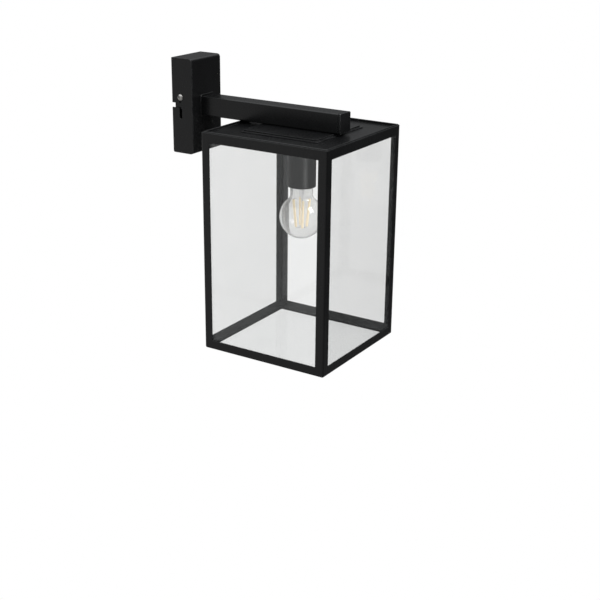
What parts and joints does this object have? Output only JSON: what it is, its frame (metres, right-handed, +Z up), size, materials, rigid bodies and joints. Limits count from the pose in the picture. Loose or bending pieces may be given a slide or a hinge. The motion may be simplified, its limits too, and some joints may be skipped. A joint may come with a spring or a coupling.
{
  "type": "outdoor wall lantern",
  "caption": "Square glazed lantern hung under a square arm from a tall wall box, with clear panes on every side and below, and a screw-in filament bulb.",
  "frame": {"origin": "middle of the wall bracket's back face, on the wall, level with the arm's centreline", "axes": "+Y into the wall, so the lantern's front faces -Y; +Z up; +X to the right seen from in front of the wall"},
  "size_m": [0.19, 0.285, 0.3808],
  "materials": {
    "black_coat": "satin black powder coat with a fine texture",
    "zinc_plate": "zinc-plated sheet steel",
    "plated_steel": "zinc-plated fasteners",
    "stainless": "bright stainless screw heads",
    "brass": "pressed brass",
    "rubber": "matt black rubber",
    "terminal_plastic": "natural nylon",
    "lead_brown": "silicone-sleeved wire, brown",
    "lead_blue": "silicone-sleeved wire, blue",
    "window_glass": "clear float glass with a faint green-grey edge",
    "sealant": "black silicone sealant",
    "ceramic": "glazed white ceramic",
    "cap_insulator": "black glass insulator",
    "nickel": "nickel-plated brass",
    "bulb_glass": "thin clear blown glass",
    "filament": "amber phosphor-coated filament sticks"
  },
  "bodies": {
    "wall_fixing": {"wall_bracket": "black_coat", "cable_grommet": "rubber", "lug_nuts": "plated_steel", "side_screws": "stainless", "earth_stud": "plated_steel", "earth_nut": "brass"},
    "lantern": {"box_shell": "black_coat", "box_side_right": "black_coat", "box_side_left": "black_coat", "arm_flange": "zinc_plate", "flange_studs": "plated_steel", "flange_nuts": "plated_steel", "terminal_block": "terminal_plastic", "terminal_screws": "brass", "arm_tube": "black_coat", "arm_end_cap": "black_coat", "arm_collar": "black_coat", "lead_left": "lead_brown", "lead_right": "lead_blue", "threaded_nipple": "plated_steel", "nipple_top_nut": "plated_steel", "nipple_lock_nut": "plated_steel", "roof_screws": "plated_steel", "roof_plate": "black_coat", "roof_tray": "black_coat", "post_front_left": "black_coat", "post_front_right": "black_coat", "post_rear_right": "black_coat", "post_rear_left": "black_coat", "top_rail_front": "black_coat", "top_rail_right": "black_coat", "top_rail_rear": "black_coat", "top_rail_left": "black_coat", "bottom_rail_front": "black_coat", "bottom_rail_right": "black_coat", "bottom_rail_rear": "black_coat", "bottom_rail_left": "black_coat", "pane_front": "window_glass", "pane_right": "window_glass", "pane_rear": "window_glass", "pane_left": "window_glass", "seal_front": "sealant", "seal_right": "sealant", "seal_rear": "sealant", "seal_left": "sealant", "lampholder_cup": "black_coat", "holder_posts": "plated_steel", "lampholder_body": "ceramic", "lampholder_shell": "brass", "holder_contact": "brass", "holder_terminals": "brass"},
    "floor_glass": {"floor_pane": "window_glass"},
    "bulb_tip": {"bulb_contact": "nickel"},
    "bulb": {"bulb_insulator": "cap_insulator", "bulb_cap": "nickel", "bulb_glass": "bulb_glass", "bulb_stem": "bulb_glass", "bulb_wires": "nickel", "bulb_filaments": "filament"}
  },
  "joints": [
    {"name": "hook_lift", "type": "slide", "parent": "wall_fixing", "child": "lantern", "axis": [0, 0, 1], "range_m": [0, 0.013]},
    {"name": "floor_pane_lift", "type": "slide", "parent": "lantern", "child": "floor_glass", "axis": [0, 0, 1], "range_m": [0, 0.12]},
    {"name": "bulb_travel", "type": "slide", "parent": "lantern", "child": "bulb_tip", "axis": [0, 0, -1], "range_m": [0, 0.0164]},
    {"name": "bulb_turn", "type": "hinge", "parent": "bulb_tip", "child": "bulb", "pos_m": [0, -0.19, -0.0605], "axis": [0, 0, -1], "range_deg": [0, 1620]}
  ],
  "couplings": [
    {"joint": "bulb_travel", "follows": "bulb_turn", "m_per_rad": 0.0005776}
  ]
}
